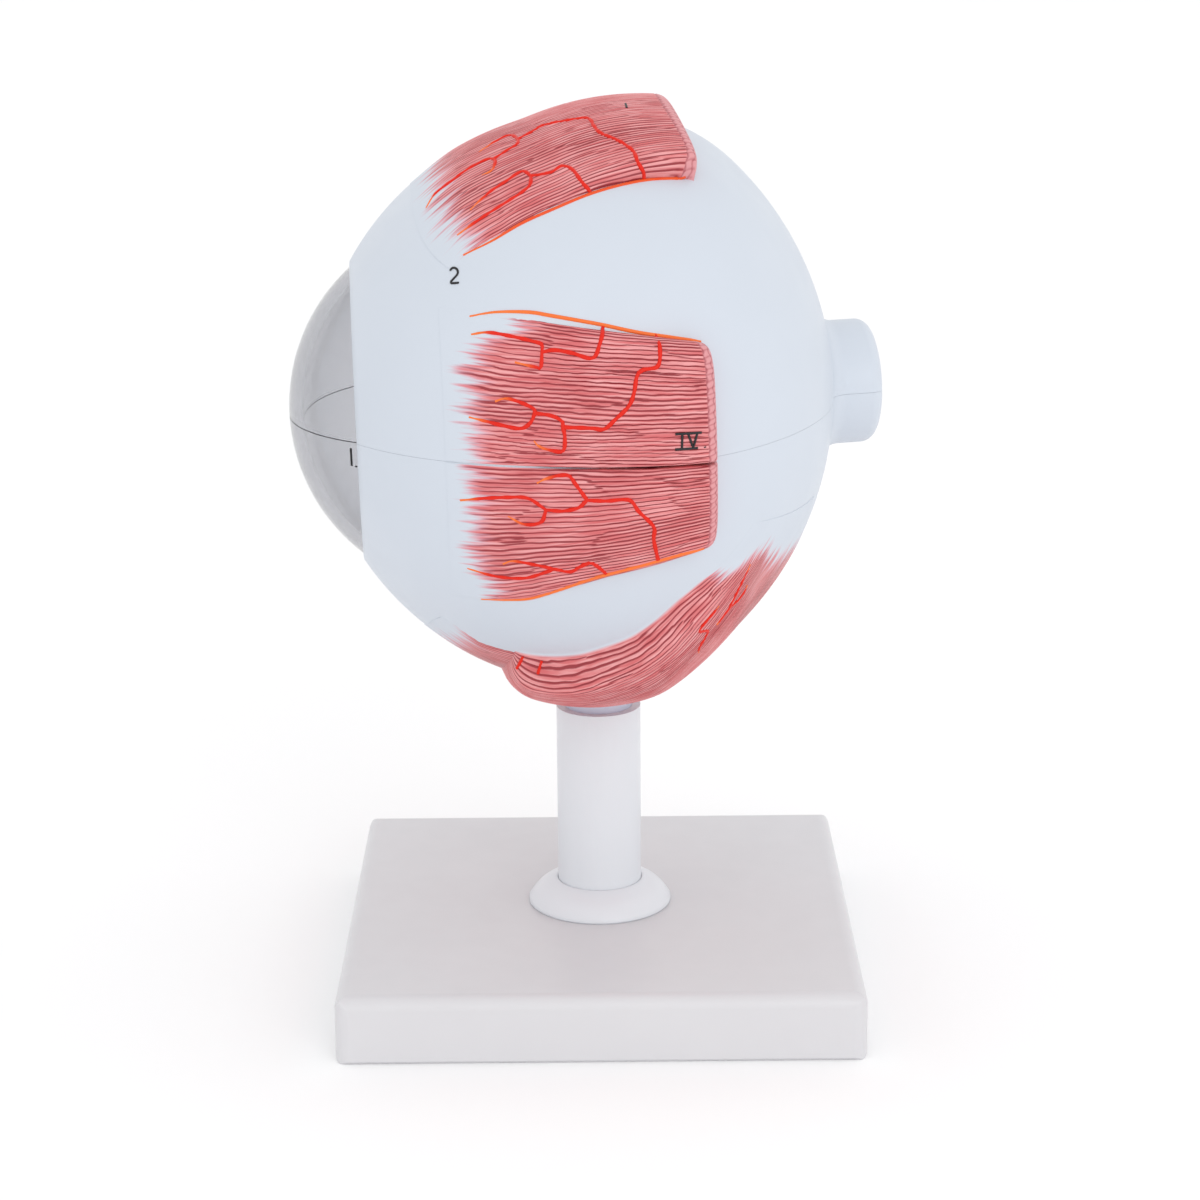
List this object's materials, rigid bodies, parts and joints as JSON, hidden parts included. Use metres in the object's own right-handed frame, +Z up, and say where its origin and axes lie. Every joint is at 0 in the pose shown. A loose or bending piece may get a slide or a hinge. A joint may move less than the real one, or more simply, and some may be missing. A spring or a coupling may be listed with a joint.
{
  "type": "eye anatomy model",
  "caption": "Enlarged model of an eyeball with muscle stumps, clear cornea, nerve stub and lift-out inner coats and lens, held by a peg in a stem on a square base.",
  "frame": {"origin": "middle of the base's underside", "axes": "+Z up along the stem, cornea towards -X, optic nerve towards +X, temple side towards -Y"},
  "size_m": [0.1371, 0.1384, 0.2094],
  "materials": {
    "stand_plastic": "smooth moulded white plastic",
    "sclera_paint": "smooth bluish white plastic",
    "clear_cornea": "clear slightly smoky plastic",
    "muscle_paint": "painted relief, satin",
    "nerve_paint": "painted, satin",
    "pin_steel": "ground steel",
    "choroid_paint": "painted dark brown",
    "retina_paint": "painted orange",
    "ciliary_paint": "painted brown, ridged",
    "iris_paint": "painted blue",
    "clear_vitreous": "clear plastic",
    "clear_lens": "clear plastic"
  },
  "bodies": {
    "base": {"base_plate": "stand_plastic", "stem_collar": "stand_plastic"},
    "stem": {"stem_tube": "stand_plastic", "stem_plug": "stand_plastic"},
    "lower_eye": {"eye_peg": "sclera_paint", "sclera_lower": "sclera_paint", "cornea_lower": "clear_cornea", "nerve_core_lower": "nerve_paint", "lateral_rectus_lower": "muscle_paint", "medial_rectus_lower": "muscle_paint", "inferior_rectus": "muscle_paint", "inferior_oblique": "muscle_paint", "locating_pins": "pin_steel"},
    "upper_eye": {"sclera_upper": "sclera_paint", "cornea_upper": "clear_cornea", "nerve_core_upper": "nerve_paint", "superior_rectus": "muscle_paint", "superior_oblique": "muscle_paint", "lateral_rectus_upper": "muscle_paint", "medial_rectus_upper": "muscle_paint"},
    "lower_coats": {"choroid_lower": "choroid_paint", "retina_lower": "retina_paint", "ciliary_lower": "ciliary_paint", "iris_lower": "iris_paint"},
    "upper_coats": {"choroid_upper": "choroid_paint", "retina_upper": "retina_paint", "ciliary_upper": "ciliary_paint", "iris_upper": "iris_paint"},
    "vitreous_body": {"vitreous_shell": "clear_vitreous", "vitreous_cup": "clear_vitreous"},
    "lens_body": {"lens": "clear_lens"}
  },
  "joints": [
    {"name": "stem_swivel", "type": "hinge", "parent": "base", "child": "stem", "pos_m": [0, 0, 0.03], "axis": [0, 0, 1], "continuous": true},
    {"name": "eye_lift_off", "type": "slide", "parent": "stem", "child": "lower_eye", "axis": [0, 0, 1], "range_m": [0, 0.04]},
    {"name": "upper_half_lift", "type": "slide", "parent": "lower_eye", "child": "upper_eye", "axis": [-0.0209, -0.0015, 0.9998], "range_m": [0, 0.26]},
    {"name": "upper_coats_lift", "type": "slide", "parent": "lower_eye", "child": "upper_coats", "axis": [-0.0209, -0.0015, 0.9998], "range_m": [0, 0.195]},
    {"name": "vitreous_lift", "type": "slide", "parent": "lower_eye", "child": "vitreous_body", "axis": [-0.0209, -0.0015, 0.9998], "range_m": [0, 0.13]},
    {"name": "lower_coats_lift", "type": "slide", "parent": "lower_eye", "child": "lower_coats", "axis": [-0.0209, -0.0015, 0.9998], "range_m": [0, 0.065]},
    {"name": "lens_draw", "type": "slide", "parent": "vitreous_body", "child": "lens_body", "axis": [-0.9973, -0.0697, -0.0209], "range_m": [0, 0.013]}
  ],
  "couplings": [
    {"joint": "upper_coats_lift", "follows": "upper_half_lift", "ratio": 0.75},
    {"joint": "vitreous_lift", "follows": "upper_half_lift", "ratio": 0.5},
    {"joint": "lower_coats_lift", "follows": "upper_half_lift", "ratio": 0.25},
    {"joint": "lens_draw", "follows": "upper_half_lift", "ratio": 0.05}
  ]
}
